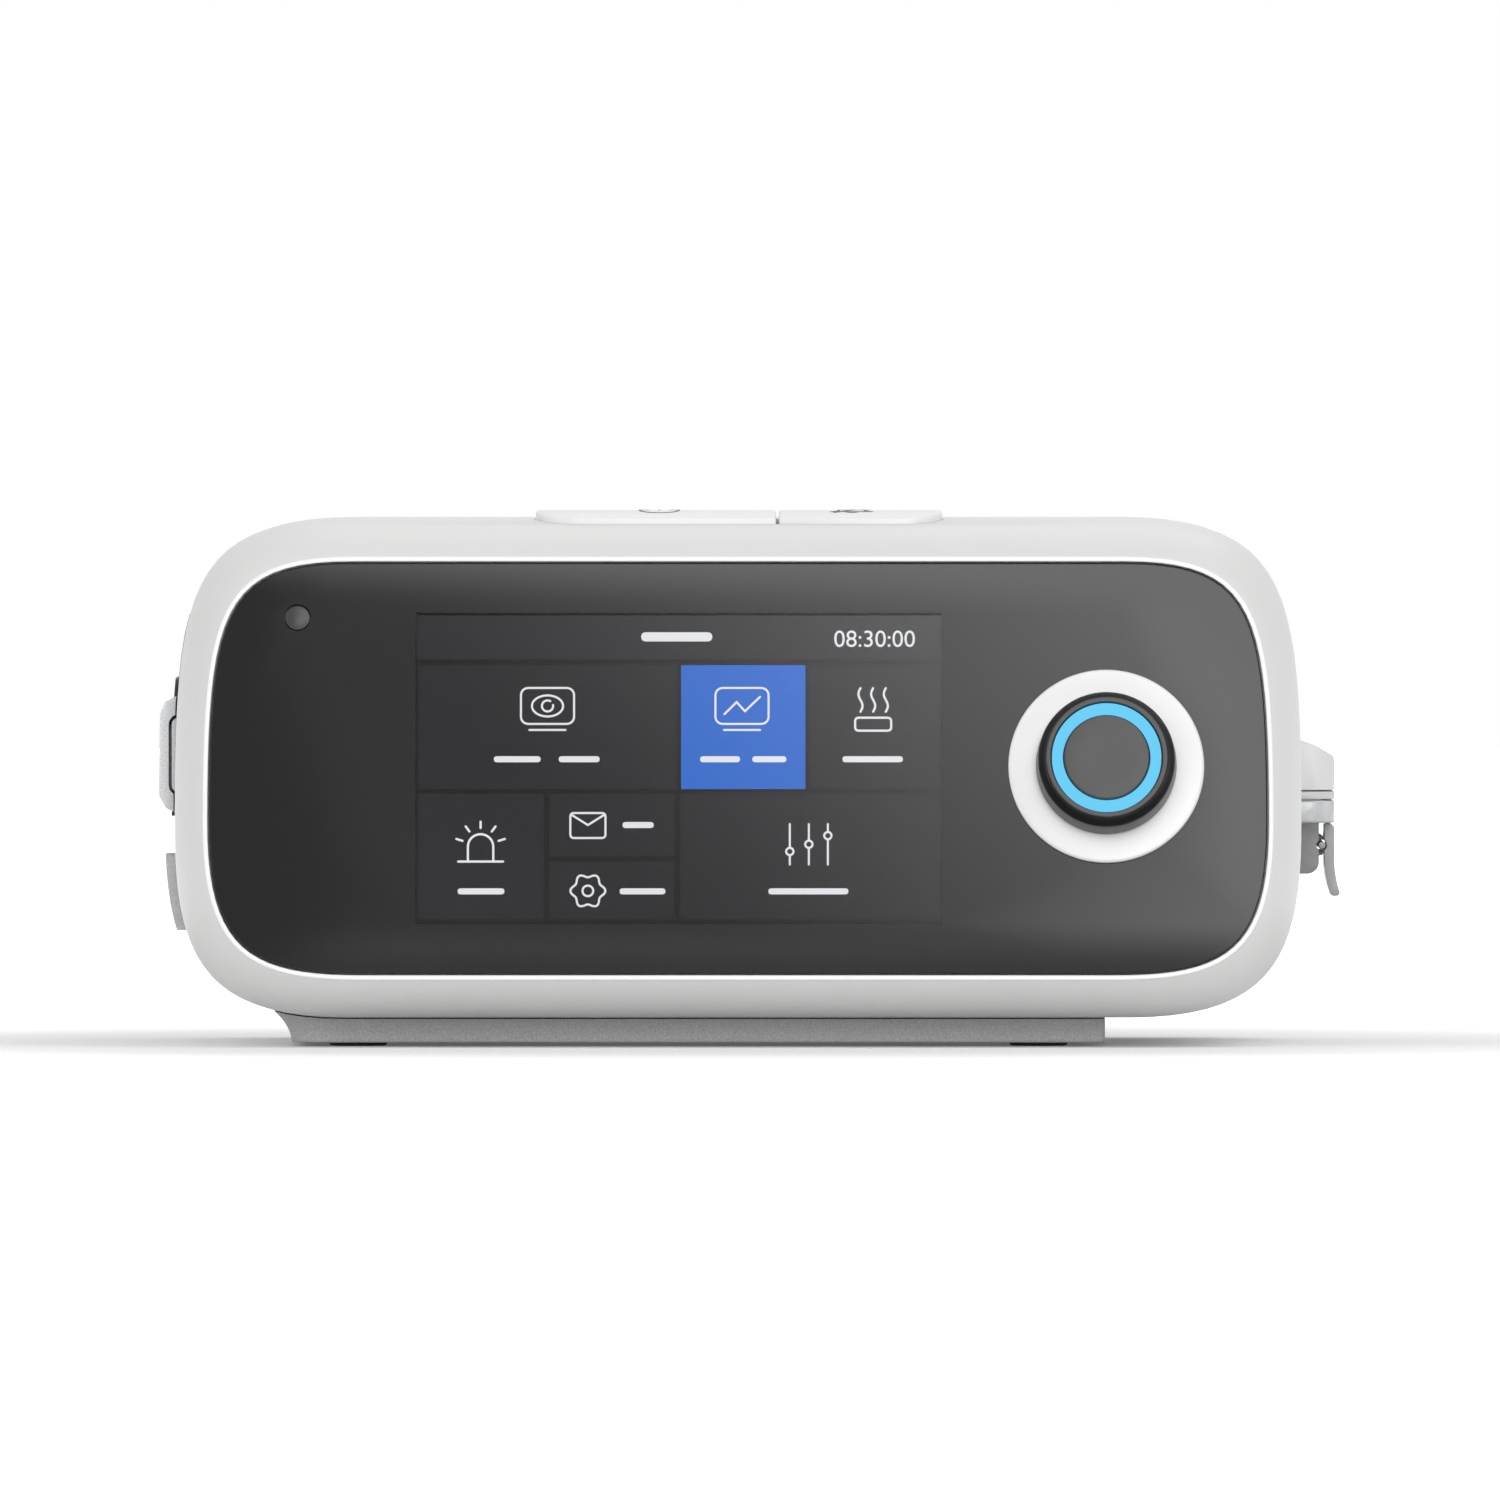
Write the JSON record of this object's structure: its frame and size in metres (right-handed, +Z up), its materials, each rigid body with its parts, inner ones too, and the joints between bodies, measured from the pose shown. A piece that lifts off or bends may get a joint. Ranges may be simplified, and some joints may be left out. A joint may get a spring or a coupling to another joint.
{
  "type": "bilevel positive airway pressure machine",
  "caption": "Bedside airway pressure machine: leaning screen panel with a push-and-turn knob, keys on top, side air filter and a humidifier tank that slides out of its end.",
  "frame": {"origin": "bottom centre of the machine's own box, on the surface that it stands on", "axes": "+X to the right as the user sees it, -Y towards the user, +Z up"},
  "size_m": [0.2442, 0.1776, 0.1103],
  "materials": {
    "white_shell": "fine satin moulded plastic",
    "white_key": "smooth white plastic",
    "black_gloss": "gloss black panel and knob",
    "screen_glass": "lit colour screen behind the panel",
    "blue_light": "lit blue light guide",
    "dark_plastic": "dark grey moulded plastic",
    "grey_plastic": "grey plastic with fine texture",
    "silver_plastic": "speckled silver paint on plastic",
    "grey_rubber": "matt mid grey rubber",
    "black_rubber": "matt black rubber",
    "clear_plastic": "clear, slightly smoky plastic",
    "steel": "plain steel",
    "dark_steel": "dark laminated or magnet steel",
    "circuit_board": "green circuit board",
    "white_foam": "white fibre or foam"
  },
  "bodies": {
    "body": {"front_housing": "white_shell", "display_lens": "black_gloss", "status_window": "grey_plastic", "knob_collar": "white_key", "encoder_body": "steel", "screen": "screen_glass", "screen_frame": "steel", "display_board": "circuit_board", "key_mat": "grey_rubber", "key_board": "circuit_board", "upper_housing": "white_shell", "lower_housing": "white_shell", "rear_cover": "white_shell", "outlet_port": "grey_plastic", "power_socket": "black_rubber", "pedestal": "grey_plastic", "foot_front_left": "black_rubber", "foot_front_right": "black_rubber", "foot_rear_left": "black_rubber", "foot_rear_right": "black_rubber", "left_side_panel": "dark_plastic", "filter_frame": "dark_plastic", "filter_pad": "white_foam", "data_socket": "steel", "humidifier_bay": "dark_plastic", "heater_plate": "steel", "heater_insulator": "white_foam", "bay_seal_in": "grey_rubber", "bay_seal_out": "grey_rubber", "volute_lower": "dark_plastic", "volute_upper": "dark_plastic", "motor_cup": "steel", "motor_bearing_lower": "steel", "motor_bearing_upper": "steel", "motor_stator": "dark_steel", "blower_mount": "grey_rubber", "blower_duct": "dark_plastic", "flow_sensor": "circuit_board", "inlet_silencer": "dark_plastic", "outlet_elbow": "dark_plastic", "main_board": "circuit_board", "speaker": "dark_steel"},
    "encoder_stem": {"encoder_plunger": "dark_plastic"},
    "knob": {"knob_shell": "black_gloss", "knob_light_ring": "blue_light", "knob_face": "dark_plastic", "encoder_shaft": "steel"},
    "power_key": {"power_key": "white_key"},
    "alarm_mute_key": {"alarm_mute_key": "white_key"},
    "tank": {"tank_body": "clear_plastic", "tank_base_plate": "steel", "tank_seal": "clear_plastic", "tank_lid": "white_shell", "latch_pin": "steel"},
    "tank_latch": {"tank_latch": "clear_plastic"},
    "filter_cover": {"filter_cover": "silver_plastic"},
    "filter_release_tab": {"filter_release_tab": "silver_plastic"},
    "port_cover": {"port_cover": "grey_rubber"},
    "blower_rotor": {"impeller": "white_shell", "motor_shaft": "dark_steel"}
  },
  "joints": [
    {"name": "knob_push", "type": "slide", "parent": "body", "child": "encoder_stem", "axis": [0, 0.9833, -0.1822], "range_m": [0, 0.0006], "stiffness_N_per_m": 1200, "springref_m": -0.001},
    {"name": "knob_turn", "type": "hinge", "parent": "encoder_stem", "child": "knob", "pos_m": [0.07295, -0.07508, 0.0575], "axis": [0, 0.9833, -0.1822], "continuous": true},
    {"name": "power_press", "type": "slide", "parent": "body", "child": "power_key", "axis": [0, 0, -1], "range_m": [0, 0.001], "stiffness_N_per_m": 900, "springref_m": -0.0008},
    {"name": "alarm_mute_press", "type": "slide", "parent": "body", "child": "alarm_mute_key", "axis": [0, 0, -1], "range_m": [0, 0.001], "stiffness_N_per_m": 900, "springref_m": -0.0008},
    {"name": "tank_slide", "type": "slide", "parent": "body", "child": "tank", "axis": [1, 0, 0], "range_m": [0, 0.095]},
    {"name": "latch_squeeze", "type": "hinge", "parent": "tank", "child": "tank_latch", "pos_m": [0.11805, 0.01184, 0.0408], "axis": [0, 1, 0], "range_deg": [0, 7], "stiffness_Nm_per_rad": 0.06, "springref_deg": -2.86},
    {"name": "filter_cover_pull", "type": "slide", "parent": "body", "child": "filter_cover", "axis": [-1, 0, 0], "range_m": [0, 0.03]},
    {"name": "release_tab_press", "type": "slide", "parent": "filter_cover", "child": "filter_release_tab", "axis": [0, 1, 0], "range_m": [0, 0.0015], "stiffness_N_per_m": 600, "springref_m": -0.0005},
    {"name": "port_cover_swing", "type": "hinge", "parent": "body", "child": "port_cover", "pos_m": [-0.11895, 0.02284, 0.0311], "axis": [0, 0, -1], "range_deg": [0, 90]},
    {"name": "rotor_spin", "type": "hinge", "parent": "body", "child": "blower_rotor", "pos_m": [-0.03755, 0.01484, 0.05], "axis": [0, 0, 1], "continuous": true}
  ]
}
